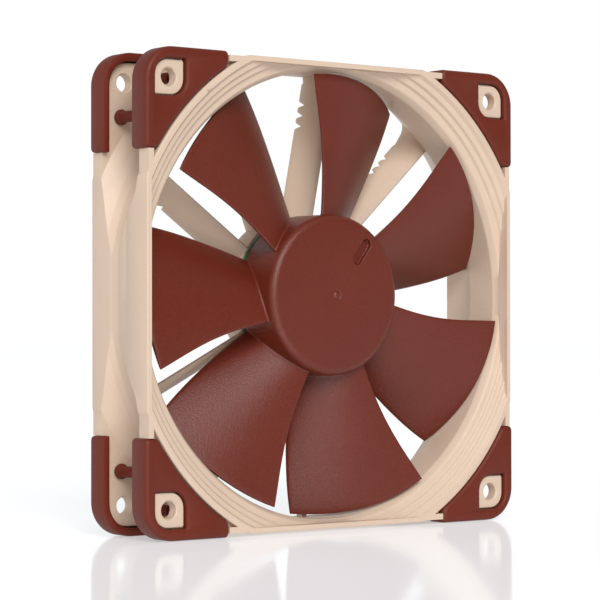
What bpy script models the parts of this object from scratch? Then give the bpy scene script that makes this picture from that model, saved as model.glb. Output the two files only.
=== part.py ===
"""Case fan, 120 x 120 x 25 mm: seven-blade impeller on a sleeve-bearing motor in a stepped-inlet frame.

The fan is modelled lying on its back, with +Z the intake side, and stands up through the two
empties that carry it: the frame's empty holds every fixed piece, and the impeller's empty, on the
spin axis, holds every turning one. Standing, the intake faces -Y and the spin axis is Y.
Lengths are in millimetres until a mesh is made, where MM turns them into metres.
"""

from math import atan2, cos, degrees, pi, radians, sin, sqrt

import bmesh
import bpy

MM = 0.001
STAND_UP = radians(90)

# Overall size
HALF_WIDTH = 60.0
HALF_DEPTH = 12.5
GAP = 0.3  # clearance kept between neighbouring pieces

# Frame: duct ring between two flanges
FACE = 12.2  # height of the frame's own faces, just under the pads'
SIDE = 59.4  # the middle of each side
SIDE_END = 59.0  # each side near its pads
SIDE_STEP = 28.0
WALL = 58.1  # inner face of the thin wall that the round inlet is cut off by
FLANGE_HALF = 57.7
FLANGE_OUTER = 10.2
FLANGE_INNER = 8.1
RIM_R = 66.0
DUCT_R = 57.4
STEP_RADII = (64.1, 62.4, 60.7)
STEP_DEPTH = 1.0
DUCT_EDGE_R = 58.6
EXIT_START = -2.0
EXIT_R = 63.2
DUCT_STEPS = 64
SCREW_PITCH = 105.0
SCREW_HOLE_R = 2.2

# Corner pads
PAD_END = 35.0
PAD_CORNER_R = 8.5
PAD_SKIRT = 6.2  # how near the middle the pad's skirt reaches
PAD_WALL = 2.0
PAD_ARC_R = 66.6
PAD_CHAMFER = 0.7
WINDOW_HALF = 4.6
WINDOW_ROUND = 4.2
BOSS_HEIGHT = 11.4
STUD_PLACE = (53.8, 43.9)
STUD_R = 1.4
BARB_R = 1.95
STUD_HOLE_R = 1.7
STUD_END = 0.5

# Guide vanes and motor base
VANE_ANGLES = (7.5, 42.4, 78.5, 112.0, 144.75, 175.5, 206.5, 238.7, 270.9, 303.1, 335.3)
VANE_FRONT = -4.4
VANE_SWEEP = 4.3  # how far the rear edge lies round from the front edge
VANE_HALF_THICK = 0.6
VANE_REACH = 65.0
VANE_REAR = -12.1
NOTCH_PLACES = (44.8, 47.7, 50.6)
BASE_RIM_R = 20.9
BASE_FOOT_R = 20.5
BASE_RIM = -5.0
BASE_WALL = 1.2
BASE_FLOOR = -10.4
SOCKET_R = 4.2
LABEL_R = 17.0
CABLE_ANGLE = 319.2  # between two vanes

# Impeller
BLADES = 7
BLADE_PHASE = 145.5
HUB_R = 20.7
HUB_FRONT = 10.8
HUB_REAR = -3.0
HUB_WALL = 1.6
HUB_ROUND = 2.0
BLADE_ROOT_R = 19.8
BLADE_TIP_R = 56.7
SLOT_ANGLE = 52.5
SLOT_R = 14.1

# Motor
SHAFT_R = 1.5
BEARING_R = 2.8
RUNNING_CLEARANCE = 0.06
TUBE_R = 3.9
TUBE_WALL = 0.8
POLES = 4
BOARD_R = 20.4
BOARD_FRONT = -3.9
BOARD_THICK = 0.8


# ---- scene helpers ----


def clear_scene():
    for obj in list(bpy.data.objects):
        bpy.data.objects.remove(obj, do_unlink=True)


def new_collection(name):
    collection = bpy.data.collections.new(name)
    bpy.context.scene.collection.children.link(collection)
    return collection


def material(name, color, roughness, metallic=0.0):
    made = bpy.data.materials.new(name)
    made.use_nodes = True
    shader = made.node_tree.nodes["Principled BSDF"]
    shader.inputs["Base Color"].default_value = (*color, 1.0)
    shader.inputs["Roughness"].default_value = roughness
    shader.inputs["Metallic"].default_value = metallic
    return made


def add_object(name, mesh, collection, finish=None, parent=None):
    obj = bpy.data.objects.new(name, mesh)
    collection.objects.link(obj)
    obj.parent = parent
    if finish and not mesh.materials:
        mesh.materials.append(finish)
    return obj


def empty(name, collection):
    """An empty that stands its children up: their +Z, the intake side, turns to face -Y."""
    obj = add_object(name, None, collection)
    obj.rotation_euler = (STAND_UP, 0, 0)
    return obj


def mesh_of(name, build):
    """A mesh filled by build(bm), which works in millimetres."""
    bm = bmesh.new()
    build(bm)
    bmesh.ops.scale(bm, vec=(MM, MM, MM), verts=bm.verts)
    mesh = bpy.data.meshes.new(name)
    bm.to_mesh(mesh)
    bm.free()
    return mesh


def settle(obj):
    """Makes an object's modifiers part of its mesh, and shades it smooth up to a sharp edge."""
    graph = bpy.context.evaluated_depsgraph_get()
    mesh = bpy.data.meshes.new_from_object(obj.evaluated_get(graph))
    mesh.name = obj.name
    obj.modifiers.clear()
    obj.data = mesh
    mesh.shade_smooth()
    mesh.set_sharp_from_angle(angle=radians(32))
    return obj


def cutter(name, mesh, parent=None):
    obj = add_object(name, mesh, CUTTERS, parent=parent)
    obj.hide_render = True
    obj.display_type = "WIRE"
    return obj


def combine(obj, other, operation):
    step = obj.modifiers.new(other.name, "BOOLEAN")
    step.operation = operation
    step.object = other
    step.solver = "EXACT"
    return obj


# ---- shape helpers ----


def arc(cx, cy, radius, start, end, steps):
    """Points along an arc, from one angle to another in degrees, ends included."""
    turns = [radians(start + (end - start) * i / steps) for i in range(steps + 1)]
    return [(cx + radius * cos(t), cy + radius * sin(t)) for t in turns]


def quarter_turns(points):
    """An outline's first quarter, repeated round the axis into the whole outline."""
    whole = []
    for _ in range(4):
        whole += points
        points = [(-y, x) for x, y in points]
    return whole


def rounded_square(half, radius, steps=4):
    centre = half - radius
    return quarter_turns(arc(centre, centre, radius, 0, 90, steps))


def leaf(half, radius):
    """A square with the two corners on the diagonal to the fan's centre rounded off."""
    near, far = -half + radius, half - radius
    outer = arc(far, far, radius, 0, 90, 5)
    inner = arc(near, near, radius, 180, 270, 5)
    return [*outer, (-half, half), *inner, (half, -half)]


def prism(bm, outline, low, high, centre=(0, 0)):
    """Extrudes a flat outline, given anticlockwise, from one height to another."""
    cx, cy = centre
    ring = [bm.verts.new((cx + x, cy + y, low)) for x, y in outline]
    floor = bm.faces.new(ring)
    raised = bmesh.ops.extrude_face_region(bm, geom=[floor])["geom"]
    top = [v for v in raised if isinstance(v, bmesh.types.BMVert)]
    bmesh.ops.translate(bm, vec=(0, 0, high - low), verts=top)
    bmesh.ops.recalc_face_normals(bm, faces=bm.faces)


def turned(name, profile, steps, collection, finish=None, parent=None, closed=False):
    """Turns a profile of (radius, height) points round Z. Its outer side runs top to bottom."""
    mesh = bpy.data.meshes.new(name)
    edges = [(i, i + 1) for i in range(len(profile) - 1)]
    if closed:
        edges.append((len(profile) - 1, 0))
    mesh.from_pydata([(r * MM, 0, z * MM) for r, z in profile], edges, [])
    obj = add_object(name, mesh, collection, finish, parent)
    screw = obj.modifiers.new("turn", "SCREW")
    screw.axis = "Z"
    screw.steps = steps
    screw.render_steps = steps
    screw.use_merge_vertices = True
    screw.merge_threshold = 1e-6
    return obj


def turned_cutter(name, profile, steps, closed=False):
    obj = turned(name, profile, steps, CUTTERS, closed=closed)
    obj.hide_render = True
    obj.display_type = "WIRE"
    return settle(obj)


def tube_profile(inner, outer, low, high, chamfer=0.0):
    """The closed profile of a ring, with its outer edges chamfered."""
    if not chamfer:
        return [(outer, high), (outer, low), (inner, low), (inner, high)]
    return [
        (outer - chamfer, high),
        (outer, high - chamfer),
        (outer, low + chamfer),
        (outer - chamfer, low),
        (inner, low),
        (inner, high),
    ]


def ring(name, inner, outer, low, high, steps, finish, parent, chamfer=0.0):
    profile = tube_profile(inner, outer, low, high, chamfer)
    return settle(turned(name, profile, steps, PARTS, finish, parent, closed=True))


def both_ends(points):
    """Outline pieces for the intake side, and the same for the exhaust side."""
    return [(low, high) for low, high in points] + [(-high, -low) for low, high in points]


# ---- frame ----


def frame_outline():
    """The frame's outline seen from the front, stepped in towards the pads on each side."""
    half = [(SIDE, -SIDE_STEP), (SIDE, SIDE_STEP), (SIDE_END, SIDE_STEP + 0.6)]
    return quarter_turns([(SIDE_END, -SIDE_STEP - 0.6), *half, (SIDE_END, SIDE_END)])


def ring_block():
    """The duct ring before its bore is cut: waisted, with a rim at both ends, cut off flat at the sides."""
    profile = [
        (0, FACE),
        (RIM_R, FACE),
        (RIM_R, FLANGE_INNER),
        (64.4, 7.1),
        (62.2, 3.0),
        (60.4, 0.3),
        (60.0, -0.6),
        (60.0, -3.2),
        (61.1, -5.0),
        (62.5, -6.1),
        (RIM_R, -FLANGE_INNER),
        (RIM_R, -FACE),
        (0, -FACE),
    ]
    block = turned_cutter("ring_block", profile, DUCT_STEPS)
    sides = mesh_of("frame_sides", lambda bm: prism(bm, frame_outline(), -15, 15))
    return settle(combine(block, cutter("frame_sides", sides), "INTERSECT"))


def bore_cutter():
    """The air path: inlet steps, duct and flared outlet, held inside the frame's flat side walls."""
    profile = [(0, FACE + 1)]
    height = FACE + 1
    for number, radius in enumerate(STEP_RADII, 1):
        floor = FACE - number * STEP_DEPTH
        profile += [(radius, height), (radius, floor)]
        height = floor
    profile += [(DUCT_EDGE_R, height), (57.9, 8.6), (DUCT_R, 7.4), (DUCT_R, EXIT_START)]
    slope = (EXIT_R - DUCT_R) / (EXIT_START + FACE)
    beyond = -FACE - 1
    profile += [(EXIT_R + slope, beyond), (0, beyond)]
    bore = turned_cutter("bore", profile, DUCT_STEPS)
    walls = mesh_of("bore_walls", lambda bm: prism(bm, rounded_square(WALL, 1.0, 2), -20, 20))
    return settle(combine(bore, cutter("bore_walls", walls), "INTERSECT"))


def vane_section(steps=4):
    """A vane's section as (round, height) points: an arc that turns the swirl straight."""
    depth = VANE_FRONT - VANE_REAR
    line = []
    for i in range(steps + 1):
        s = i / steps
        line.append((VANE_SWEEP * (2 * s - s * s), VANE_FRONT - depth * s))
    near, far = [], []
    for i, (t, z) in enumerate(line):
        t0, z0 = line[max(i - 1, 0)]
        t1, z1 = line[min(i + 1, steps)]
        length = sqrt((t1 - t0) ** 2 + (z1 - z0) ** 2)
        across = ((z0 - z1) / length, (t1 - t0) / length)
        thick = VANE_HALF_THICK * (0.6 if i == 0 else 1.0)
        near.append((t - across[0] * thick, z - across[1] * thick))
        far.append((t + across[0] * thick, z + across[1] * thick))
    near[-1] = (near[-1][0], VANE_REAR)
    far[-1] = (far[-1][0], VANE_REAR)
    return near + far[::-1]


def build_vanes(bm):
    for turn in map(radians, VANE_ANGLES):
        ahead = (cos(turn), sin(turn))
        aside = (-sin(turn), cos(turn))
        loops = []
        for reach in (BASE_FOOT_R - 0.8, VANE_REACH):
            points = [
                (ahead[0] * reach + aside[0] * t, ahead[1] * reach + aside[1] * t, z)
                for t, z in vane_section()
            ]
            loops.append([bm.verts.new(p) for p in points])
        inner, outer = loops
        bm.faces.new(inner)
        bm.faces.new(outer)
        for i in range(len(inner)):
            j = (i + 1) % len(inner)
            bm.faces.new((inner[i], inner[j], outer[j], outer[i]))
    bmesh.ops.recalc_face_normals(bm, faces=bm.faces)


def vane_limit():
    """The room that the vanes fill: from inside the base's wall out to inside the duct's wall."""
    low, high = VANE_REAR - 1, VANE_FRONT + 2
    duct = DUCT_R + 1.2
    wall = BASE_RIM_R - BASE_WALL / 2
    foot = BASE_FOOT_R - BASE_WALL / 2
    profile = [
        (BOARD_R + GAP, high),
        (duct, high),
        (duct, EXIT_START - 1),
        (EXIT_R + 1.2, low),
        (foot, low),
        (foot, VANE_REAR),
        (wall, BASE_RIM - 0.4),
        (BOARD_R + GAP, BASE_RIM - 0.4),
    ]
    limit = turned_cutter("vane_limit", profile, DUCT_STEPS, closed=True)
    walls = mesh_of("limit_walls", lambda bm: prism(bm, rounded_square(WALL + 0.6, 1.0, 2), -20, 20))
    return settle(combine(limit, cutter("limit_walls", walls), "INTERSECT"))


def build_notches(bm):
    """Three saw cuts in each vane's rear edge, out near the duct."""
    low, high = -FACE - 1, -FACE + 2.2
    for turn in map(radians, VANE_ANGLES):
        for reach in NOTCH_PLACES:
            wedge = [(reach - 0.6, low), (reach + 0.9, low), (reach + 0.2, high)]
            faces = []
            for t in (VANE_SWEEP - 3, VANE_SWEEP + 3):
                loop = [
                    bm.verts.new((cos(turn) * r - sin(turn) * t, sin(turn) * r + cos(turn) * t, z))
                    for r, z in wedge
                ]
                faces.append(loop)
            first, second = faces
            bm.faces.new(first)
            bm.faces.new(second)
            for i in range(3):
                j = (i + 1) % 3
                bm.faces.new((first[i], first[j], second[j], second[i]))
    bmesh.ops.recalc_face_normals(bm, faces=bm.faces)


def base_profile():
    """The motor base: a shallow cup with a socket for the bearing tube and a recess for the label."""
    foot_inner = BASE_FOOT_R - BASE_WALL
    return [
        (0, BASE_FLOOR),
        (SOCKET_R, BASE_FLOOR),
        (SOCKET_R, BASE_FLOOR + 2.0),
        (SOCKET_R + 1.3, BASE_FLOOR + 2.0),
        (SOCKET_R + 1.3, BASE_FLOOR),
        (foot_inner, BASE_FLOOR),
        (BASE_RIM_R - BASE_WALL, BASE_RIM),
        (BASE_RIM_R, BASE_RIM),
        (BASE_FOOT_R, -FACE),
        (LABEL_R + GAP, -FACE),
        (LABEL_R + GAP, -FACE + 0.7),
        (0, -FACE + 0.7),
    ]


def build_flanges(bm):
    for low, high in both_ends([(FLANGE_INNER, FLANGE_OUTER)]):
        prism(bm, rounded_square(FLANGE_HALF, PAD_CORNER_R - 2.3), low, high)


def build_side_walls(bm):
    """The thin walls that carry each side on past the round rim, up to the pads."""
    for low, high in both_ends([(FLANGE_INNER, FACE)]):
        for sign in (-1, 1):
            near, far = sorted((sign * WALL, sign * SIDE_END))
            end = PAD_END - GAP
            prism(bm, [(near, -end), (far, -end), (far, end), (near, end)], low, high)
            prism(bm, [(-end, near), (end, near), (end, far), (-end, far)], low, high)


def corners(place):
    """A point near the upper right corner, and its like in the other three corners."""
    x, y = place
    return [(x, y), (-y, x), (-x, -y), (y, -x)]


def build_bosses(bm):
    place = SCREW_PITCH / 2
    shape = leaf(WINDOW_HALF - GAP, WINDOW_ROUND - GAP)
    for quarter in range(4):
        centre = corners((place, place))[quarter]
        for low, high in both_ends([(FLANGE_INNER + 0.5, BOSS_HEIGHT)]):
            prism(bm, shape, low, high, centre)
        shape = [(-y, x) for x, y in shape]


def build_holes(bm):
    """Screw holes through all four corners, and the holes for the pads' studs."""
    place = SCREW_PITCH / 2
    circle = arc(0, 0, SCREW_HOLE_R, 0, 345, 23)
    for centre in corners((place, place)):
        for low, high in both_ends([(FLANGE_INNER - 2, FACE + 2)]):
            prism(bm, circle, low, high, centre)
    circle = arc(0, 0, STUD_HOLE_R, 0, 330, 11)
    for stud in (STUD_PLACE, STUD_PLACE[::-1]):
        for centre in corners(stud):
            for low, high in both_ends([(FLANGE_INNER - 2, FACE + 2)]):
                prism(bm, circle, low, high, centre)


def build_posts(bm):
    """Three posts on the base's floor that the circuit board rests on."""
    circle = arc(0, 0, 1.3, 0, 315, 7)
    top = BOARD_FRONT - BOARD_THICK - GAP
    for turn in (radians(a) for a in (30, 150, 270)):
        prism(bm, circle, BASE_FLOOR - 0.4, top, (17.5 * cos(turn), 17.5 * sin(turn)))


def build_cable_notch(bm):
    """The outlet in the base's wall that the motor's lead leaves through."""
    prism(bm, [(18, -2.5), (24, -2.5), (24, 2.5), (18, 2.5)], BASE_FLOOR, BASE_RIM + 1)


def build_frame(finish, parent):
    frame = settle(ring_block())
    frame.name = "frame_block"
    union = [
        cutter("flanges", mesh_of("flanges", build_flanges)),
        cutter("side_walls", mesh_of("side_walls", build_side_walls)),
        cutter("bosses", mesh_of("bosses", build_bosses)),
    ]
    for piece in union:
        combine(frame, piece, "UNION")
        settle(frame)
    combine(frame, bore_cutter(), "DIFFERENCE")
    settle(frame)

    vanes = cutter("vanes", mesh_of("vanes", build_vanes))
    settle(combine(vanes, vane_limit(), "INTERSECT"))
    settle(combine(vanes, cutter("notches", mesh_of("notches", build_notches)), "DIFFERENCE"))
    base = turned_cutter("base", base_profile(), 48)
    settle(combine(base, cutter("posts", mesh_of("posts", build_posts)), "UNION"))
    notch = cutter("cable_notch", mesh_of("cable_notch", build_cable_notch))
    notch.rotation_euler = (0, 0, radians(CABLE_ANGLE))

    combine(frame, vanes, "UNION")
    settle(frame)
    combine(frame, base, "UNION")
    settle(frame)
    for tool in (cutter("holes", mesh_of("holes", build_holes)), notch):
        combine(frame, tool, "DIFFERENCE")
        settle(frame)

    CUTTERS.objects.unlink(frame)
    PARTS.objects.link(frame)
    frame.name = "frame"
    frame.hide_render = False
    frame.display_type = "TEXTURED"
    frame.data.materials.clear()
    frame.data.materials.append(finish)
    frame.parent = parent
    return frame


# ---- corner pads ----


def pad_outline(inset=0.0):
    """A pad seen from the front: two straight sides to a round corner, and an arc along the inlet's rim."""
    outer = HALF_WIDTH - inset
    end = PAD_END + inset
    arc_r = PAD_ARC_R + inset
    start = degrees(atan2(end, sqrt(arc_r**2 - end**2)))
    centre = HALF_WIDTH - PAD_CORNER_R
    corner = arc(centre, centre, PAD_CORNER_R - inset, 0, 90, 6)
    inner = arc(0, 0, arc_r, 90 - start, start, 6)
    return [(outer, end), *corner, (end, outer), *inner]


def build_pad_block(bm):
    """The pad's outer block, chamfered round its front face."""
    levels = [(PAD_SKIRT, 0.0), (HALF_DEPTH - PAD_CHAMFER, 0.0), (HALF_DEPTH, PAD_CHAMFER)]
    rings = [[bm.verts.new((x, y, z)) for x, y in pad_outline(inset)] for z, inset in levels]
    bm.faces.new(rings[0][::-1])
    bm.faces.new(rings[-1])
    for low, high in zip(rings, rings[1:]):
        for i in range(len(low)):
            j = (i + 1) % len(low)
            bm.faces.new((low[i], low[j], high[j], high[i]))


def build_pad_inside(bm):
    """Room inside the pad for the flange, and the window that the screw boss shows in."""
    prism(bm, rounded_square(FLANGE_HALF + GAP, PAD_CORNER_R - PAD_WALL), 0, FLANGE_OUTER + GAP)


def build_pad_window(bm):
    place = SCREW_PITCH / 2
    prism(bm, leaf(WINDOW_HALF, WINDOW_ROUND), 0, 20, (place, place))


def stud_profile():
    """A stud: a shaft through the flange, a barb that holds it there, and a tail to pull it by."""
    barb = FLANGE_INNER - GAP
    return [
        (0, FLANGE_OUTER + 1.2),
        (STUD_R, FLANGE_OUTER + 1.2),
        (STUD_R, barb),
        (BARB_R, barb),
        (BARB_R, barb - 0.6),
        (STUD_R, barb - 1.5),
        (STUD_R, STUD_END),
        (0, STUD_END),
    ]


def build_pad_mesh(finish):
    """One pad, in the upper right corner of the intake side."""
    pad = cutter("pad_block", mesh_of("pad_block", build_pad_block))
    settle(combine(pad, cutter("pad_inside", mesh_of("pad_inside", build_pad_inside)), "DIFFERENCE"))
    settle(combine(pad, cutter("pad_window", mesh_of("pad_window", build_pad_window)), "DIFFERENCE"))
    for number, (x, y) in enumerate((STUD_PLACE, STUD_PLACE[::-1])):
        stud = turned_cutter(f"stud_{number}", stud_profile(), 12)
        stud.location = (x * MM, y * MM, 0)
        settle(combine(pad, stud, "UNION"))
    mesh = pad.data
    mesh.name = "corner_pad"
    mesh.materials.clear()
    mesh.materials.append(finish)
    return mesh


def build_pads(finish, parent):
    mesh = build_pad_mesh(finish)
    front = ("upper_right", "upper_left", "lower_left", "lower_right")
    rear = ("lower_right", "upper_right", "upper_left", "lower_left")
    for quarter in range(4):
        pad = add_object(f"front_pad_{front[quarter]}", mesh, PARTS, parent=parent)
        pad.rotation_euler = (0, 0, radians(90 * quarter))
        pad = add_object(f"rear_pad_{rear[quarter]}", mesh, PARTS, parent=parent)
        pad.rotation_euler = (pi, 0, radians(90 * quarter))


# ---- impeller ----


def blade_station(radius, u):
    """A point of the blade's front face: u runs from the leading edge, 0, to the trailing edge, 1."""
    s = (radius - 38) / 20
    lead = 1.21 * s + 3.16 * s * s - 2.15 * s**3
    trail = -38.42 + 3.57 * s - 0.29 * s * s + 0.66 * s**3
    front = 8.59 + 0.78 * s + 0.35 * s * s
    rear = -2.66 + 0.19 * s + 0.5 * s * s
    fall = 0.2 * u + 0.8 * u**2.4
    return lead + (trail - lead) * u, front + (rear - front) * fall


def blade_thickness(radius, u):
    """Thickest a third of the way back, thinner towards both edges and the tip."""
    span = (radius - BLADE_ROOT_R) / (BLADE_TIP_R - BLADE_ROOT_R)
    thickest = 2.2 - 0.8 * span
    return thickest * (0.42 + 0.58 * sin(pi * min(max(u, 0.0), 1.0) ** 0.75))


def build_blades(bm, radial=9, chord=8):
    for number in range(BLADES):
        phase = BLADE_PHASE - number * 360 / BLADES
        front, back = [], []
        for i in range(radial + 1):
            radius = BLADE_ROOT_R + (BLADE_TIP_R - BLADE_ROOT_R) * i / radial
            rows = ([], [])
            for k in range(chord + 1):
                u = k / chord
                turn, z = blade_station(radius, u)
                thick = blade_thickness(radius, u)
                angle = radians(phase + turn)
                point = (radius * cos(angle), radius * sin(angle))
                rows[0].append(bm.verts.new((*point, z)))
                rows[1].append(bm.verts.new((*point, z - thick)))
            front.append(rows[0])
            back.append(rows[1])
        for i in range(radial):
            for k in range(chord):
                bm.faces.new((front[i][k], front[i][k + 1], front[i + 1][k + 1], front[i + 1][k]))
                bm.faces.new((back[i][k], back[i + 1][k], back[i + 1][k + 1], back[i][k + 1]))
            for k in (0, chord):
                bm.faces.new((front[i][k], front[i + 1][k], back[i + 1][k], back[i][k]))
        for i in (0, radial):
            for k in range(chord):
                bm.faces.new((front[i][k], front[i][k + 1], back[i][k + 1], back[i][k]))
    bmesh.ops.recalc_face_normals(bm, faces=bm.faces)


def hub_profile():
    inner = HUB_R - HUB_WALL
    under = HUB_FRONT - 1.7
    pocket = BEARING_R - 0.1
    centre = (HUB_R - HUB_ROUND, HUB_FRONT - HUB_ROUND)
    rounding = arc(*centre, HUB_ROUND, 90, 0, 4)
    return [
        (0, HUB_FRONT),
        *rounding,
        (HUB_R, HUB_REAR),
        (inner, HUB_REAR),
        (inner, under),
        (4.4, under),
        (4.4, 6.4),
        (pocket, 6.4),
        (pocket, HUB_FRONT - 0.9),
        (0, HUB_FRONT - 0.9),
    ]


def build_slot(bm):
    """The oblong recess in the hub's face."""
    half, radius = 2.5, 1.2
    outline = arc(half, 0, radius, -90, 90, 5) + arc(-half, 0, radius, 90, 270, 5)
    prism(bm, outline, HUB_FRONT - 0.8, HUB_FRONT + 1)


def build_impeller(finish, parent):
    hub = turned("impeller", hub_profile(), 56, PARTS, finish, parent)
    settle(hub)
    blades = cutter("blades", mesh_of("blades", build_blades), parent)
    slot = cutter("balance_slot", mesh_of("balance_slot", build_slot), parent)
    turn = radians(SLOT_ANGLE)
    slot.location = (SLOT_R * MM * cos(turn), SLOT_R * MM * sin(turn), 0)
    slot.rotation_euler = (0, 0, turn)
    settle(combine(hub, blades, "UNION"))
    settle(combine(hub, slot, "DIFFERENCE"))
    hub.data.materials.clear()
    hub.data.materials.append(finish)


def build_rotor(metals, parent):
    steel, brass, ferrite, nylon = metals
    yoke_r = HUB_R - HUB_WALL - GAP
    yoke = [
        (4.8, 8.8),
        (yoke_r - 1.0, 8.8),
        (yoke_r, 7.8),
        (yoke_r, HUB_REAR + GAP),
        (yoke_r - 0.8, HUB_REAR + GAP),
        (yoke_r - 0.8, 7.4),
        (yoke_r - 1.4, 8.0),
        (4.8, 8.0),
    ]
    settle(turned("rotor_yoke", yoke, 48, PARTS, steel, parent, closed=True))
    magnet_r = yoke_r - 0.8 - GAP
    ring("magnet_ring", magnet_r - 1.7, magnet_r, HUB_REAR + GAP, 5.5, 48, ferrite, parent, 0.3)
    ring("shaft_bushing", SHAFT_R + GAP, BEARING_R - 0.4, 6.7, 9.6, 24, brass, parent, 0.2)
    groove, end = -8.2, -9.2
    shaft = [
        (0, 9.3),
        (SHAFT_R - 0.2, 9.3),
        (SHAFT_R, 9.1),
        (SHAFT_R, groove),
        (SHAFT_R - 0.4, groove),
        (SHAFT_R - 0.4, groove - 0.7),
        (SHAFT_R - 0.1, groove - 0.7),
        (SHAFT_R - 0.3, end),
        (0, end),
    ]
    settle(turned("shaft", shaft, 24, PARTS, steel, parent))
    ring("shaft_clip", SHAFT_R - 0.2, BEARING_R - 0.3, groove - 0.5, groove - 0.2, 24, nylon, parent)


# ---- motor ----


def build_bearing(metals, parent):
    steel, brass, ferrite, nylon = metals
    bore = TUBE_R - TUBE_WALL
    low = BASE_FLOOR + GAP
    ring("bearing_tube", bore, TUBE_R, low, 5.4, 32, brass, parent, 0.3)
    sleeve_bore = SHAFT_R + RUNNING_CLEARANCE
    ring("sleeve_bearing", sleeve_bore, BEARING_R, -7.6, 4.4, 32, steel, parent, 0.2)
    ring("oil_seal", SHAFT_R + 0.25, BEARING_R, 4.7, 5.3, 32, nylon, parent)
    disc = [(0, low + 0.6), (BEARING_R, low + 0.6), (BEARING_R, low), (0, low)]
    settle(turned("thrust_pad", disc, 24, PARTS, nylon, parent))
    seat = BASE_FLOOR + 2.0 + GAP
    ring("stabilising_magnet", SOCKET_R, SOCKET_R + 1.4, seat, seat + 1.0, 32, ferrite, parent)


def star_outline(hub_r, arm_half, arm_end, shoe=None):
    """Four arms round a hub. With a shoe, (inner, outer, half angle), each ends in a pole shoe."""
    inner = sqrt(hub_r**2 - arm_half**2)
    quarter = [(inner, -arm_half)]
    if shoe:
        low, high, spread = shoe
        foot = sqrt(low**2 - arm_half**2)
        quarter += [(foot, -arm_half), *arc(0, 0, low, -spread / 2, -spread, 1)]
        quarter += [*arc(0, 0, high, -spread, spread, 6), *arc(0, 0, low, spread, spread / 2, 1)]
        quarter += [(foot, arm_half)]
    else:
        quarter += [(arm_end, -arm_half), (arm_end, arm_half)]
    quarter += [(inner, arm_half), *arc(0, 0, hub_r, 40, 50, 1)]
    return quarter_turns(quarter)


def build_stator(name, outline, low, high, finish, parent):
    mesh = mesh_of(name, lambda bm: prism(bm, outline, low, high))
    body = add_object(name, mesh, PARTS, finish, parent)
    hole = turned_cutter(f"{name}_hole", tube_like_cutter(TUBE_R + GAP), 32)
    hole.parent = parent
    settle(combine(body, hole, "DIFFERENCE"))
    body.data.materials.clear()
    body.data.materials.append(finish)


def tube_like_cutter(radius):
    return [(0, 20), (radius, 20), (radius, -20), (0, -20)]


def build_coil(bm):
    """A winding round one arm: a rectangular ring with rounded outer corners."""
    inner = [(-2.4, -2.2), (2.4, -2.2), (2.4, 5.1), (-2.4, 5.1)]
    outer = []
    for (x, z), start in zip(inner, (180, 270, 0, 90)):
        outer += arc(x, z, 1.3, start, start + 90, 3)
    near, far = 7.3, 12.4
    loops = {}
    for name, outline in (("outer", outer), ("inner", inner)):
        for depth in (near, far):
            loops[name, depth] = [bm.verts.new((depth, t, z)) for t, z in outline]
    for name in ("outer", "inner"):
        a, b = loops[name, near], loops[name, far]
        for i in range(len(a)):
            j = (i + 1) % len(a)
            bm.faces.new((a[i], a[j], b[j], b[i]))
    per_corner = len(outer) // 4
    for depth in (near, far):
        o, n = loops["outer", depth], loops["inner", depth]
        for c in range(4):
            for i in range(per_corner - 1):
                k = c * per_corner + i
                bm.faces.new((o[k], o[k + 1], n[c]))
            k = (c + 1) * per_corner - 1
            j = (k + 1) % len(o)
            bm.faces.new((o[k], o[j], n[(c + 1) % 4], n[c]))
    bmesh.ops.recalc_face_normals(bm, faces=bm.faces)


def box(name, size, centre, finish, parent, turn=0.0):
    mesh = bpy.data.meshes.new(name)
    bm = bmesh.new()
    bmesh.ops.create_cube(bm, size=MM)
    bmesh.ops.scale(bm, vec=size, verts=bm.verts)
    bm.to_mesh(mesh)
    bm.free()
    obj = add_object(name, mesh, PARTS, finish, parent)
    obj.location = [c * MM for c in centre]
    obj.rotation_euler = (0, 0, radians(turn))
    return obj


def build_motor(finishes, parent):
    laminate, insulator, copper, board, chip, can = finishes
    shoes = (13.5, 15.4, 36)
    build_stator("stator_core", star_outline(6.2, 2.0, 0, shoes), -0.9, 3.8, laminate, parent)
    build_stator("front_insulator", star_outline(6.0, 1.9, 13.0), 4.1, 4.8, insulator, parent)
    build_stator("rear_insulator", star_outline(6.0, 1.9, 13.0), -1.9, -1.2, insulator, parent)
    coil = mesh_of("coil", build_coil)
    for number in range(POLES):
        winding = add_object(f"coil_{number + 1}", coil, PARTS, copper, parent)
        winding.rotation_euler = (0, 0, radians(number * 360 / POLES))
    back = BOARD_FRONT - BOARD_THICK
    ring("circuit_board", TUBE_R + 0.7, BOARD_R, back, BOARD_FRONT, 48, board, parent)
    box("driver_chip", (5.0, 4.2, 1.5), (9.5, -7.5, back - GAP - 0.75), chip, parent, -38)
    box("hall_sensor", (3.0, 1.4, 0.4), (9.9, 9.9, BOARD_FRONT + GAP + 0.2), chip, parent, -45)
    profile = [(0, back - GAP), (2.2, back - GAP), (2.2, back - 4.5), (0, back - 4.5)]
    capacitor = settle(turned("capacitor", profile, 24, PARTS, can, parent))
    capacitor.location = (-9.5 * MM, -8.0 * MM, 0)


def build_label(finish, parent):
    low = -FACE + 0.1
    profile = [(0, low + 0.3), (LABEL_R, low + 0.3), (LABEL_R, low), (0, low)]
    settle(turned("rear_label", profile, 48, PARTS, finish, parent))


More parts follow.
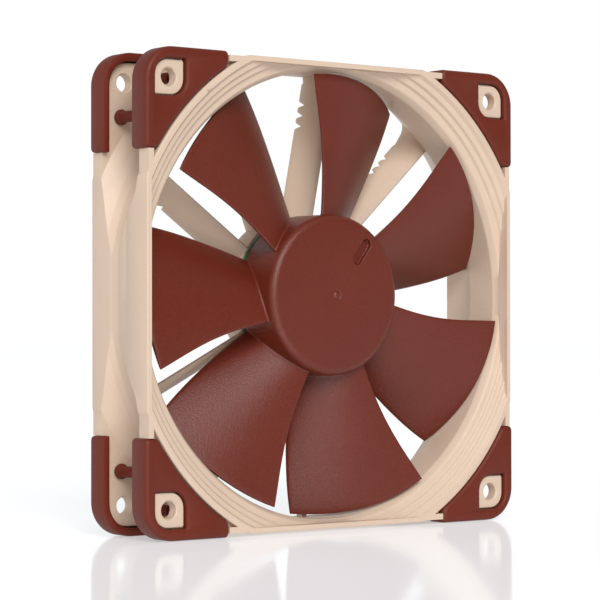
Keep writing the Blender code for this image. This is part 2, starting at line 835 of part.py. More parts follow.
def main():
    cream = material("cream_plastic", (0.76, 0.60, 0.47), 0.42)
    brown = material("brown_plastic", (0.19, 0.045, 0.025), 0.45)
    rubber = material("brown_rubber", (0.20, 0.05, 0.03), 0.55)
    steel = material("steel", (0.60, 0.60, 0.60), 0.30, 1.0)
    brass = material("brass", (0.72, 0.53, 0.24), 0.30, 1.0)
    ferrite = material("ferrite", (0.05, 0.05, 0.05), 0.60)
    nylon = material("nylon", (0.80, 0.78, 0.72), 0.50)
    laminate = material("laminations", (0.30, 0.30, 0.31), 0.45, 1.0)
    copper = material("copper_wire", (0.70, 0.30, 0.14), 0.35, 1.0)
    board = material("circuit_board", (0.03, 0.14, 0.08), 0.45)
    chip = material("chip_body", (0.02, 0.02, 0.02), 0.50)
    can = material("capacitor_can", (0.70, 0.71, 0.72), 0.35, 1.0)
    paper = material("label", (0.55, 0.50, 0.44), 0.60)

    fixed = empty("frame_axis", PARTS)
    spinning = empty("impeller_axis", PARTS)
    build_frame(cream, fixed)
    build_pads(rubber, fixed)
    build_bearing((steel, brass, ferrite, nylon), fixed)
    build_motor((laminate, nylon, copper, board, chip, can), fixed)
    build_label(paper, fixed)
    build_impeller(brown, spinning)
    build_rotor((steel, brass, ferrite, nylon), spinning)


clear_scene()
PARTS = new_collection("case_fan")
CUTTERS = new_collection("cutters")
main()
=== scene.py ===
"""The case fan's looks: frame, pads and impeller drawn again with
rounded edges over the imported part, then lit.
"""

from math import acos, atan2, cos, degrees, exp, pi, radians, sin, sqrt, tan

import bmesh
import bpy
from mathutils import Matrix, Vector


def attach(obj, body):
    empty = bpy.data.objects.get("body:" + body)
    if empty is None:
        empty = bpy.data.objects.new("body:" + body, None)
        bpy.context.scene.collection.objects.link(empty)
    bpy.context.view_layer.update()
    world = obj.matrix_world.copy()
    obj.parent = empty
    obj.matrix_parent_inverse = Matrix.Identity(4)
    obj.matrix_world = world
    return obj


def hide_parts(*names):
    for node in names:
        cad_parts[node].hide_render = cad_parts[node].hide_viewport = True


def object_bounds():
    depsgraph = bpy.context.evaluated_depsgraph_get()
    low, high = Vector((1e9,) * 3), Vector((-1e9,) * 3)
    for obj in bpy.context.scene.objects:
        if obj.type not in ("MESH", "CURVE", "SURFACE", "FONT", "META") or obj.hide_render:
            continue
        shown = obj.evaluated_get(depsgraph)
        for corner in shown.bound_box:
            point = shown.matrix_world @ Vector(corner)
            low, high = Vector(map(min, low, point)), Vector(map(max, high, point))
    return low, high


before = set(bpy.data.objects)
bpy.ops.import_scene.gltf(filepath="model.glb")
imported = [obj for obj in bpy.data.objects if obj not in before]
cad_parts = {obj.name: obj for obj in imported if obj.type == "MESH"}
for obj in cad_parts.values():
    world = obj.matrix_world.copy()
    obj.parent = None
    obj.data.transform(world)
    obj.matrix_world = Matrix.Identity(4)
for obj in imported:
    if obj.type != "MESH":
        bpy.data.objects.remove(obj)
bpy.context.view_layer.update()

# Shapes are modelled lying on their back in millimetres, +Z the intake side, then stood up.
MM = 0.001
STAND_UP = Matrix.Rotation(radians(90), 4, "X")

FACE = 12.2
HALF_WIDTH = 60.0
HALF_DEPTH = 12.5
GAP = 0.3
SIDE = 59.4
SIDE_END = 59.0
WALL = 58.1
FLANGE_HALF = 57.7
FLANGE_OUTER = 10.2
FLANGE_INNER = 8.1
RIM_R = 66.0
DUCT_R = 57.4
STEP_RADII = (64.1, 62.4, 60.7)
DUCT_EDGE_R = 58.6
EXIT_START = -2.0
EXIT_R = 63.2
DUCT_STEPS = 144
SCREW_PLACE = 52.5
SCREW_HOLE_R = 2.2

PAD_END = 35.0
PAD_CORNER_R = 8.5
PAD_SKIRT = 6.2
PAD_WALL = 2.0
PAD_ARC_R = 66.2
WINDOW_HALF = 4.6
WINDOW_ROUND = 4.2
BOSS_HEIGHT = 11.4
STUD_PLACE = (53.8, 43.9)
STUD_R = 1.4
BARB_R = 1.95
STUD_END = 0.5

VANE_ANGLES = (7.5, 42.4, 78.5, 112.0, 144.75, 175.5, 206.5, 238.7, 270.9, 303.1, 335.3)
VANE_FRONT = -4.4
VANE_REAR = -12.1
VANE_SWEEP = 4.3
VANE_HALF_THICK = 0.6
NOTCHES = (44.8, 47.7, 50.6)
NOTCH_DEPTH = 2.1
BASE_RIM_R = 20.9
BASE_FOOT_R = 20.5
BASE_RIM = -5.0
BASE_WALL = 1.2
BASE_FLOOR = -10.4
SOCKET_R = 4.2
BOARD_R = 20.4
LABEL_R = 17.0
CABLE_ANGLE = 319.2

BLADES = 7
BLADE_PHASE = 145.5
HUB_R = 20.7
HUB_FRONT = 10.8
HUB_REAR = -3.0
HUB_WALL = 1.6
BLADE_ROOT_R = 19.8
BLADE_TIP_R = 56.7
ROOT_FILLET = 0.5
SLOT_ANGLE = 52.5
SLOT_R = 14.1

WORK = bpy.data.collections.new("cutters")
bpy.context.scene.collection.children.link(WORK)


# ---- shape helpers ----


def mesh_of(name, build):
    bm = bmesh.new()
    build(bm)
    bmesh.ops.scale(bm, vec=(MM, MM, MM), verts=bm.verts)
    mesh = bpy.data.meshes.new(name)
    bm.to_mesh(mesh)
    bm.free()
    return mesh


def tool(name, mesh):
    obj = bpy.data.objects.new(name, mesh)
    WORK.objects.link(obj)
    return obj


def settle(obj):
    graph = bpy.context.evaluated_depsgraph_get()
    mesh = bpy.data.meshes.new_from_object(obj.evaluated_get(graph))
    obj.modifiers.clear()
    obj.data = mesh
    return obj


def combine(obj, other, operation):
    step = obj.modifiers.new(other.name, "BOOLEAN")
    step.operation = operation
    step.object = other
    step.solver = "EXACT"
    settle(obj)
    bpy.data.objects.remove(other)
    return obj


def arc(cx, cy, radius, start, end, steps):
    turns = [radians(start + (end - start) * i / steps) for i in range(steps + 1)]
    return [(cx + radius * cos(t), cy + radius * sin(t)) for t in turns]


def rounded(corners, steps=3):
    """The outline through (x, y, radius) corners, each one rounded by its radius."""
    points = []
    for i, (x, y, radius) in enumerate(corners):
        here = Vector((x, y))
        if not radius:
            points.append((x, y))
            continue
        back = (Vector(corners[i - 1][:2]) - here).normalized()
        ahead = (Vector(corners[(i + 1) % len(corners)][:2]) - here).normalized()
        half = acos(max(-1.0, min(1.0, back.dot(ahead)))) / 2
        centre = here + (back + ahead).normalized() * (radius / sin(half))
        first = here + back * (radius / tan(half)) - centre
        last = here + ahead * (radius / tan(half)) - centre
        sweep = first.angle_signed(last)
        for k in range(steps + 1):
            turned_by = -sweep * k / steps
            spin = Matrix.Rotation(turned_by, 2)
            points.append(tuple(centre + spin @ first))
    return points


def quarter_turns(points):
    whole = []
    for _ in range(4):
        whole += points
        points = [(-y, x) for x, y in points]
    return whole


def rounded_square(half, radius, steps=8):
    return quarter_turns(arc(half - radius, half - radius, radius, 0, 90, steps))


def leaf(half, radius, sharp=0.4):
    """A square with round corners on the diagonal to the fan's centre and near-sharp ones on the other."""
    corners = [(half, half, radius), (-half, half, sharp), (-half, -half, radius), (half, -half, sharp)]
    return rounded(corners, 8)


def skin(bm, rings):
    """Joins rings of points into a closed skin with a face at each end."""
    loops = [[bm.verts.new(p) for p in ring] for ring in rings]
    bm.faces.new(loops[0][::-1])
    bm.faces.new(loops[-1])
    for low, high in zip(loops, loops[1:]):
        for i in range(len(low)):
            j = (i + 1) % len(low)
            bm.faces.new((low[i], low[j], high[j], high[i]))


def levels(bm, outline_at, heights, centre=(0, 0)):
    """A prism whose outline changes with height: heights is (z, inset) from the bottom up."""
    cx, cy = centre
    skin(bm, [[(cx + x, cy + y, z) for x, y in outline_at(inset)] for z, inset in heights])


def eased(low, high, edge, steps=3):
    """Heights from low to high with both ends rounded over by edge."""
    turns = [pi / 2 * k / steps for k in range(steps + 1)]
    bottom = [(low + edge - edge * cos(t), edge * (1 - sin(t))) for t in turns]
    top = [(low + high - z, inset) for z, inset in bottom[::-1]]
    return bottom + top


def turned(name, profile, steps, closed=False):
    mesh = bpy.data.meshes.new(name)
    edges = [(i, i + 1) for i in range(len(profile) - 1)]
    if closed:
        edges.append((len(profile) - 1, 0))
    mesh.from_pydata([(r * MM, 0, z * MM) for r, z in profile], edges, [])
    obj = tool(name, mesh)
    screw = obj.modifiers.new("turn", "SCREW")
    screw.axis = "Z"
    screw.steps = steps
    screw.render_steps = steps
    screw.use_merge_vertices = True
    screw.merge_threshold = 1e-6
    return settle(obj)


def corners(place):
    x, y = place
    return [(x, y), (-y, x), (-x, -y), (y, -x)]


def smooth(obj, angle=32):
    obj.data.shade_smooth()
    obj.data.set_sharp_from_angle(angle=radians(angle))
    return obj


def place_piece(obj, name, body, finish, replaced=None, matrix=None):
    """Stands a finished shape up and sets it in the part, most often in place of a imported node."""
    WORK.objects.unlink(obj)
    bpy.context.scene.collection.objects.link(obj)
    obj.name = name
    obj.data = obj.data.copy()
    obj.data.name = name
    obj.data.transform(STAND_UP @ (matrix or Matrix.Identity(4)))
    obj.data.materials.clear()
    obj.data.materials.append(finish)
    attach(obj, body)
    if replaced:
        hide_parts(replaced)
    return obj


# ---- frame ----


def ring_block():
    profile = rounded(
        [
            (0, FACE, 0),
            (RIM_R, FACE, 0.35),
            (RIM_R, FLANGE_INNER, 0.2),
            (64.3, 7.0, 1.0),
            (62.2, 3.0, 3.0),
            (60.4, 0.3, 0.4),
            (60.0, -0.6, 0.5),
            (60.0, -3.2, 1.2),
            (61.1, -5.0, 1.0),
            (62.5, -6.1, 0.8),
            (RIM_R, -FLANGE_INNER, 0.2),
            (RIM_R, -FACE, 0.35),
            (0, -FACE, 0),
        ]
    )
    block = turned("ring_block", profile, DUCT_STEPS)

    def outline(inset):
        side, end = SIDE - inset, SIDE_END - inset
        return quarter_turns([(end, -29.8), (side, -28.2), (side, 28.2), (end, 29.8), (end, end)])

    heights = eased(-FACE - 0.01, FACE + 0.01, 0.3)
    sides = tool("frame_sides", mesh_of("sides", lambda bm: levels(bm, outline, heights)))
    return combine(block, sides, "INTERSECT")


def bore():
    slope = (EXIT_R - DUCT_R) / (EXIT_START + FACE)
    first, second, third = STEP_RADII
    profile = rounded(
        [
            (0, FACE + 1, 0),
            (first + 0.3, FACE + 1, 0),
            (first + 0.3, FACE, 0),
            (first, FACE - 0.3, 0),
            (first - 0.4, FACE - 0.95, 0.5),
            (second, FACE - 1.05, 0.5),
            (second - 0.4, FACE - 1.95, 0.5),
            (third, FACE - 2.05, 0.5),
            (third - 0.4, FACE - 2.95, 0.5),
            (DUCT_EDGE_R, FACE - 3.05, 1.0),
            (DUCT_R, 7.2, 1.0),
            (DUCT_R, EXIT_START, 3.0),
            (EXIT_R + slope, -FACE - 1, 0),
            (0, -FACE - 1, 0),
        ]
    )
    cut = turned("bore", profile, DUCT_STEPS)

    def outline(inset):
        return rounded_square(WALL - inset, 1.0, 3)

    walls = tool("walls", mesh_of("walls", lambda bm: levels(bm, outline, [(-20, 0), (20, 0)])))
    return combine(cut, walls, "INTERSECT")


def build_flanges(bm):
    for low, high in ((FLANGE_INNER, FLANGE_OUTER), (-FLANGE_OUTER, -FLANGE_INNER)):
        levels(
            bm,
            lambda inset: rounded_square(FLANGE_HALF - inset, PAD_CORNER_R - 2.3 - inset),
            eased(low, high, 0.25),
        )


def build_side_walls(bm):
    for low, high in ((FLANGE_INNER, FACE), (-FACE, -FLANGE_INNER)):
        for quarter in range(4):
            end = PAD_END - 0.05
            inner = FLANGE_HALF - 0.2
            box = [(inner, -end), (SIDE_END, -end), (SIDE_END, end), (inner, end)]
            for _ in range(quarter):
                box = [(-y, x) for x, y in box]
            levels(bm, lambda inset: box, [(low, 0), (high, 0)])


def build_bosses(bm):
    for quarter, centre in enumerate(corners((SCREW_PLACE, SCREW_PLACE))):
        def outline(inset):
            shape = leaf(WINDOW_HALF - GAP - inset, WINDOW_ROUND - GAP - inset, 0.5)
            for _ in range(quarter):
                shape = [(-y, x) for x, y in shape]
            return shape

        low = FLANGE_INNER + 0.5
        front = [(low, 0), (BOSS_HEIGHT - 0.3, 0), (BOSS_HEIGHT - 0.09, 0.09), (BOSS_HEIGHT, 0.3)]
        levels(bm, outline, front, centre)
        levels(bm, outline, [(-height, inset) for height, inset in reversed(front)], centre)


def build_holes(bm):
    def circle(radius):
        return lambda inset: arc(0, 0, radius - inset, 0, 350, 35)

    for centre in corners((SCREW_PLACE, SCREW_PLACE)):
        for sign in (1, -1):
            heights = [
                (5.0, -0.3),
                (FLANGE_INNER, -0.3),
                (FLANGE_INNER + 0.3, 0),
                (BOSS_HEIGHT - 0.35, 0),
                (BOSS_HEIGHT + 0.2, -0.55),
            ]
            if sign < 0:
                heights = [(-z, inset) for z, inset in heights[::-1]]
            levels(bm, circle(SCREW_HOLE_R), heights, centre)
    for stud in (STUD_PLACE, STUD_PLACE[::-1]):
        for centre in corners(stud):
            for low in (5.0, -14.0):
                levels(bm, circle(STUD_R + GAP), [(low, 0), (low + 9.0, 0)], centre)


def notch_rise(radius):
    """How far the vane's rear edge is cut back at this radius: three saw cuts with rounded lobes between."""
    rise = 0.0
    for place in NOTCHES:
        away = radius - place
        wide = 1.25 if away > 0 else 0.75
        share = max(0.0, 1 - abs(away) / wide)
        rise = max(rise, NOTCH_DEPTH * share**1.25)
    if radius > 56.3:
        rise = max(rise, 0.45 * min(1.0, (radius - 56.3) / 0.15) * max(0.0, 1 - (radius - 56.6) / 2.5))
    return rise


def vane_loop(radius):
    """A vane's section at this radius: (round, height) points, with a round front edge."""
    depth = VANE_FRONT - VANE_REAR
    rise = notch_rise(radius)
    last = 1 - rise / depth
    half = VANE_HALF_THICK + 1.5 * exp((radius - 62.0) / 1.6)
    steps = 10
    line = []
    for i in range(steps + 1):
        s = last * i / steps
        line.append((VANE_SWEEP * (2 * s - s * s), VANE_FRONT - depth * s))
    near, far = [], []
    for i, (t, z) in enumerate(line):
        t0, z0 = line[max(i - 1, 0)]
        t1, z1 = line[min(i + 1, steps)]
        length = sqrt((t1 - t0) ** 2 + (z1 - z0) ** 2)
        across = ((z0 - z1) / length, (t1 - t0) / length)
        thick = half * (0.45, 0.85)[i] if i < 2 else half
        if i == steps:
            thick = half - 0.2
        near.append((t - across[0] * thick, z - across[1] * thick))
        far.append((t + across[0] * thick, z + across[1] * thick))
    return near + far[::-1]


def vane_stations():
    plain = [19.7, 22.6, 28.0, 34.0, 40.0, 43.4]
    fine = [43.8 + 0.12 * k for k in range(69)]
    step = [53.0, 54.5, 55.8, 56.2, 56.35, 56.5, 57.2]
    foot = [float(radius) for radius in range(58, 66)]
    return plain + fine + step + foot


def build_vanes(bm):
    sections = [(radius, vane_loop(radius)) for radius in vane_stations()]
    for angle in VANE_ANGLES:
        turn = radians(angle)
        ahead, aside = (cos(turn), sin(turn)), (-sin(turn), cos(turn))
        rings = []
        for radius, loop in sections:
            rings.append(
                [
                    (ahead[0] * radius + aside[0] * t, ahead[1] * radius + aside[1] * t, z)
                    for t, z in loop
                ]
            )
        skin(bm, rings)
    bmesh.ops.recalc_face_normals(bm, faces=bm.faces)


def vane_limit():
    low, high = VANE_REAR - 1, VANE_FRONT + 2
    wall = BASE_RIM_R - BASE_WALL / 2
    foot = BASE_FOOT_R - BASE_WALL / 2
    profile = [
        (BOARD_R + GAP, high),
        (DUCT_R + 1.2, high),
        (DUCT_R + 1.2, EXIT_START - 1),
        (EXIT_R + 1.2, low),
        (foot, low),
        (foot, VANE_REAR),
        (wall, BASE_RIM - 0.4),
        (BOARD_R + GAP, BASE_RIM - 0.4),
    ]
    limit = turned("vane_limit", profile, DUCT_STEPS, closed=True)

    def outline(inset):
        return rounded_square(WALL + 0.6, 1.0, 3)

    walls = tool("walls", mesh_of("walls", lambda bm: levels(bm, outline, [(-20, 0), (20, 0)])))
    return combine(limit, walls, "INTERSECT")


def base_cup():
    profile = rounded(
        [
            (0, BASE_FLOOR, 0),
            (SOCKET_R, BASE_FLOOR, 0),
            (SOCKET_R, BASE_FLOOR + 2.0, 0.15),
            (SOCKET_R + 1.3, BASE_FLOOR + 2.0, 0.2),
            (SOCKET_R + 1.3, BASE_FLOOR, 0.3),
            (BASE_FOOT_R - BASE_WALL, BASE_FLOOR, 0.4),
            (BASE_RIM_R - BASE_WALL, BASE_RIM, 0.2),
            (BASE_RIM_R, BASE_RIM, 0.3),
            (BASE_FOOT_R, -FACE, 0.4),
            (LABEL_R + GAP, -FACE, 0.15),
            (LABEL_R + GAP, -FACE + 0.7, 0.1),
            (0, -FACE + 0.7, 0),
        ]
    )
    return turned("base", profile, 96)


def build_posts(bm):
    top = -5.0
    for turn in (radians(a) for a in (30, 150, 270)):
        place = (17.5 * cos(turn), 17.5 * sin(turn))
        heights = [(BASE_FLOOR - 0.4, 0), (top, 0)]
        levels(bm, lambda inset: arc(0, 0, 1.3 - inset, 0, 345, 23), heights, place)


def build_notch(bm):
    turn = radians(CABLE_ANGLE)
    spot = [(18, -2.5), (24, -2.5), (24, 2.5), (18, 2.5)]
    spot = [(x * cos(turn) - y * sin(turn), x * sin(turn) + y * cos(turn)) for x, y in spot]
    levels(bm, lambda inset: spot, [(BASE_FLOOR, 0), (BASE_RIM + 1, 0)])


def build_frame(finish):
    shape = ring_block()
    for build in (build_flanges, build_side_walls, build_bosses):
        name = build.__name__.removeprefix("build_")
        combine(shape, tool(name, mesh_of(name, build)), "UNION")
    combine(shape, bore(), "DIFFERENCE")
    vanes = combine(tool("vanes", mesh_of("vanes", build_vanes)), vane_limit(), "INTERSECT")
    combine(shape, vanes, "UNION")
    base = combine(base_cup(), tool("posts", mesh_of("posts", build_posts)), "UNION")
    combine(shape, base, "UNION")
    combine(shape, tool("holes", mesh_of("holes", build_holes)), "DIFFERENCE")
    combine(shape, tool("outlet", mesh_of("outlet", build_notch)), "DIFFERENCE")
    smooth(shape)
    for face in shape.data.polygons:
        if abs(face.normal.z) > 0.9999 and len(face.vertices) > 12:
            face.use_smooth = False
    return place_piece(shape, "frame_moulding", "frame", finish, "frame")


def build_duct_bumps(finish):
    """Rows of tiny domes on the duct's wall around the blade tips."""
    def build(bm):
        for row in range(4):
            for number in range(60):
                turn = radians(6 * number + 3 * (row % 2))
                dome = bmesh.ops.create_uvsphere(bm, u_segments=8, v_segments=6, radius=1.0)["verts"]
                bmesh.ops.scale(bm, vec=(0.07, 0.3, 0.3), verts=dome)
                bmesh.ops.translate(bm, vec=(DUCT_R, 0, 6.0 - 2.4 * row), verts=dome)
                bmesh.ops.rotate(bm, matrix=Matrix.Rotation(turn, 3, "Z"), verts=dome)

    obj = smooth(tool("duct_bumps", mesh_of("duct_bumps", build)), 60)
    return place_piece(obj, "duct_bumps", "frame", finish)


# ---- pads ----


def pad_outline(inset=0.0):
    outer = HALF_WIDTH - inset
    end = PAD_END + inset
    arc_r = PAD_ARC_R + inset
    start = degrees(atan2(end, sqrt(arc_r**2 - end**2)))
    centre = HALF_WIDTH - PAD_CORNER_R
    soft = 0.9
    near = Vector((sqrt(arc_r**2 - end**2), end))
    tangent = Vector((-near.y, near.x)).normalized()
    corner_out = arc(outer - soft, end + soft, soft, -90, 0, 3)
    lead_in = (near.x + 0.7, end)
    lead_out = tuple(near + tangent * 0.7)
    first = [*corner_out, *arc(centre, centre, PAD_CORNER_R - inset, 0, 45, 8)[:-1]]
    mirrored = [(y, x) for x, y in first][::-1]
    curve = arc(0, 0, arc_r, 90 - start, start, 28)
    inner = [(y, x) for x, y in [lead_out, lead_in]][::-1] + curve[2:-2] + [lead_out, lead_in]
    middle = arc(centre, centre, PAD_CORNER_R - inset, 45, 45, 1)[:1]
    return [*first, *middle, *mirrored, *inner]


def build_pad_block(bm):
    edge = 1.25
    heights = [(PAD_SKIRT, 0.35), (PAD_SKIRT + 0.1, 0.1), (PAD_SKIRT + 0.35, 0)]
    for k in range(6):
        turn = pi / 2 * k / 5
        heights.append((HALF_DEPTH - edge + edge * sin(turn), edge * (1 - cos(turn)) * 0.85))
    levels(bm, pad_outline, heights)


def build_pad_inside(bm):
    half = FLANGE_HALF + GAP

    def outline(inset):
        return rounded_square(half - inset, PAD_CORNER_R - PAD_WALL - inset)

    heights = [
        (0, -0.35),
        (PAD_SKIRT, -0.35),
        (PAD_SKIRT + 0.1, -0.1),
        (PAD_SKIRT + 0.35, 0),
        (FLANGE_OUTER + GAP, 0),
    ]
    levels(bm, outline, heights)


def build_pad_window(bm):
    place = (SCREW_PLACE, SCREW_PLACE)

    def outline(inset):
        return leaf(WINDOW_HALF - inset, WINDOW_ROUND - inset, 0.4 - inset)

    heights = [
        (0, 0),
        (HALF_DEPTH - 0.6, 0),
        (HALF_DEPTH - 0.2, -0.15),
        (HALF_DEPTH, -0.5),
        (HALF_DEPTH + 1, -0.6),
    ]
    levels(bm, outline, heights, place)


def stud(place):
    barb = FLANGE_INNER - GAP
    profile = rounded(
        [
            (0, FLANGE_OUTER + 1.2, 0),
            (STUD_R, FLANGE_OUTER + 1.2, 0),
            (STUD_R, barb, 0.1),
            (BARB_R, barb, 0.25),
            (BARB_R, barb - 0.7, 0.4),
            (STUD_R, barb - 1.4, 0.2),
            (STUD_R, STUD_END, 0.4),
            (0, STUD_END, 0),
        ]
    )
    obj = turned("stud", profile, 32)
    obj.location = (place[0] * MM, place[1] * MM, 0)
    return obj


def build_pads(finish):
    pad = tool("pad", mesh_of("pad", build_pad_block))
    combine(pad, tool("inside", mesh_of("inside", build_pad_inside)), "DIFFERENCE")
    combine(pad, tool("window", mesh_of("window", build_pad_window)), "DIFFERENCE")
    for place in (STUD_PLACE, STUD_PLACE[::-1]):
        combine(pad, stud(place), "UNION")
    smooth(pad, 40)
    front = ("upper_right", "upper_left", "lower_left", "lower_right")
    rear = ("lower_right", "upper_right", "upper_left", "lower_left")
    for quarter in range(4):
        turn = Matrix.Rotation(radians(90 * quarter), 4, "Z")
        over = turn @ Matrix.Rotation(pi, 4, "X")
        for side, names, matrix in (("front", front, turn), ("rear", rear, over)):
            copy = tool("pad_copy", pad.data)
            node = f"{side}_pad_{names[quarter]}"
            place_piece(copy, "soft_" + node, "frame", finish, node, matrix)
    bpy.data.objects.remove(pad)


# ---- impeller ----


def blade_station(radius, u):
    s = (radius - 38) / 20
    lead = 1.21 * s + 3.16 * s * s - 2.15 * s**3
    trail = -38.42 + 3.57 * s - 0.29 * s * s + 0.66 * s**3
    front = 8.59 + 0.78 * s + 0.35 * s * s
    rear = -2.66 + 0.19 * s + 0.5 * s * s
    fall = 0.2 * u + 0.8 * max(u, 0.0) ** 2.4
    return lead + (trail - lead) * u, front + (rear - front) * fall


def blade_thickness(radius, u):
    span = (radius - BLADE_ROOT_R) / (BLADE_TIP_R - BLADE_ROOT_R)
    thickest = 2.1 - 0.8 * span
    return thickest * (0.5 + 0.5 * sin(pi * min(max(u, 0.0), 1.0) ** 0.8))


def build_blades(bm):
    radii = [BLADE_ROOT_R, 20.7, 20.74, 20.82, 20.95, 21.15, 21.4, 21.6, 22.4]
    radii += [22.4 + (BLADE_TIP_R - 0.2 - 22.4) * k / 22 for k in range(1, 23)]
    radii.append(BLADE_TIP_R)
    for number in range(BLADES):
        phase = BLADE_PHASE - number * 360 / BLADES
        rings = []
        for radius in radii:
            loop = []
            chord = 26
            beyond = radius - HUB_R
            share = 1 - min(max(beyond, 0.0) / ROOT_FILLET, 1.0)
            fillet = ROOT_FILLET * (1 - sqrt(max(0.0, 1 - share * share)))
            trim = 0.12 if radius == BLADE_TIP_R else 0.0
            front, back = [], []
            for k in range(chord + 1):
                u = (1 - cos(pi * k / chord)) / 2
                turn, z = blade_station(radius, u)
                thick = blade_thickness(radius, u)
                edge = min(u, 1 - u) * 40 * radius / 57.3
                ease = sqrt(max(0.0, 1 - (1 - min(edge / (thick * 0.45), 1.0)) ** 2))
                up = max(thick / 2 * (0.18 + 0.82 * ease) - trim, 0.05) + fillet
                middle = z - thick / 2
                angle = radians(phase + turn)
                point = (radius * cos(angle), radius * sin(angle))
                front.append((*point, middle + up))
                back.append((*point, middle - up))
            loop = front + back[::-1]
            rings.append(loop)
        skin(bm, rings)
    bmesh.ops.recalc_face_normals(bm, faces=bm.faces)


def hub():
    inner = HUB_R - HUB_WALL
    under = HUB_FRONT - 1.7
    pocket = 2.7
    profile = rounded(
        [
            (0, HUB_FRONT + 0.45, 0),
            (0.4, HUB_FRONT + 0.38, 0.15),
            (0.85, HUB_FRONT + 0.1, 0.1),
            (1.0, HUB_FRONT - 0.08, 0.05),
            (1.45, HUB_FRONT - 0.08, 0.05),
            (1.6, HUB_FRONT, 0.05),
            (HUB_R, HUB_FRONT, 2.1),
            (HUB_R, HUB_REAR, 0.2),
            (inner, HUB_REAR, 0.2),
            (inner, under, 0.5),
            (4.4, under, 0.3),
            (4.4, 6.4, 0.2),
            (pocket, 6.4, 0),
            (pocket, HUB_FRONT - 0.9, 0),
            (0, HUB_FRONT - 0.9, 0),
        ],
        7,
    )
    return turned("hub", profile, 160)


def build_slot(bm):
    def outline(inset):
        half, radius = 2.5, 1.45 - inset
        return arc(half, 0, radius, -90, 90, 10) + arc(-half, 0, radius, 90, 270, 10)

    heights = [
        (HUB_FRONT - 1.35, 0.15),
        (HUB_FRONT - 1.2, 0),
        (HUB_FRONT - 0.12, 0),
        (HUB_FRONT, -0.12),
        (HUB_FRONT + 1, -0.2),
    ]
    levels(bm, outline, heights)


def build_impeller(finish):
    shape = combine(hub(), tool("blades", mesh_of("blades", build_blades)), "UNION")
    slot = tool("slot", mesh_of("slot", build_slot))
    turn = radians(SLOT_ANGLE)
    slot.location = (SLOT_R * MM * cos(turn), SLOT_R * MM * sin(turn), 0)
    slot.rotation_euler = (0, 0, turn)
    combine(shape, slot, "DIFFERENCE")
    smooth(shape)
    return place_piece(shape, "impeller_moulding", "impeller", finish, "impeller")


# ---- finishes ----


def shader(name):
    made = bpy.data.materials.new(name)
    made.use_nodes = True
    tree = made.node_tree
    return made, tree, tree.nodes["Principled BSDF"]


def noise(tree, scale, detail=2.0, rough=0.5):
    where = tree.nodes.new("ShaderNodeTexCoord")
    made = tree.nodes.new("ShaderNodeTexNoise")
    made.inputs["Scale"].default_value = scale
    made.inputs["Detail"].default_value = detail
    made.inputs["Roughness"].default_value = rough
    tree.links.new(where.outputs["Object"], made.inputs["Vector"])
    return made.outputs["Fac"]


def ramp(tree, factor, low, high, dark, light):
    made = tree.nodes.new("ShaderNodeValToRGB")
    made.color_ramp.elements[0].position = low
    made.color_ramp.elements[0].color = (*dark, 1)
    made.color_ramp.elements[1].position = high
    made.color_ramp.elements[1].color = (*light, 1)
    tree.links.new(factor, made.inputs["Fac"])
    return made.outputs["Color"]


def spread(tree, factor, low, high):
    made = tree.nodes.new("ShaderNodeMapRange")
    made.inputs["From Min"].default_value = 0.3
    made.inputs["From Max"].default_value = 0.7
    made.inputs["To Min"].default_value = low
    made.inputs["To Max"].default_value = high
    tree.links.new(factor, made.inputs["Value"])
    return made.outputs["Result"]


def bump(tree, height, strength, distance):
    made = tree.nodes.new("ShaderNodeBump")
    made.inputs["Strength"].default_value = strength
    made.inputs["Distance"].default_value = distance
    tree.links.new(height, made.inputs["Height"])
    return made.outputs["Normal"]


def moulded(name, dark, light, roughness, grain_scale, grain, blotch=60, metallic=0.0, shine=0.5):
    """A moulded or machined surface: slow colour and gloss changes under a fine grain."""
    made, tree, base = shader(name)
    slow = noise(tree, blotch, 3.0)
    fine = noise(tree, grain_scale, 4.0, 0.6)
    tree.links.new(ramp(tree, slow, 0.3, 0.7, dark, light), base.inputs["Base Color"])
    tree.links.new(spread(tree, fine, roughness - 0.05, roughness + 0.05), base.inputs["Roughness"])
    tree.links.new(bump(tree, fine, grain, 0.0002), base.inputs["Normal"])
    base.inputs["Metallic"].default_value = metallic
    base.inputs["Specular IOR Level"].default_value = shine
    return made


def grained(name, dark, light, speck, roughness, grain_scale, grain, shine=0.2):
    """A textured moulding: fine light specks in the colour as well as in the relief."""
    made, tree, base = shader(name)
    slow = noise(tree, 45, 3.0)
    fine = noise(tree, grain_scale, 3.0, 0.7)
    body = ramp(tree, slow, 0.3, 0.7, dark, light)
    specks = tree.nodes.new("ShaderNodeMix")
    specks.data_type = "RGBA"
    share = spread(tree, fine, 0.0, 0.35)
    tree.links.new(share, specks.inputs["Factor"])
    tree.links.new(body, specks.inputs["A"])
    specks.inputs["B"].default_value = (*speck, 1)
    tree.links.new(specks.outputs["Result"], base.inputs["Base Color"])
    tree.links.new(spread(tree, fine, roughness - 0.07, roughness + 0.07), base.inputs["Roughness"])
    tree.links.new(bump(tree, fine, grain, 0.0002), base.inputs["Normal"])
    base.inputs["Specular IOR Level"].default_value = shine
    return made


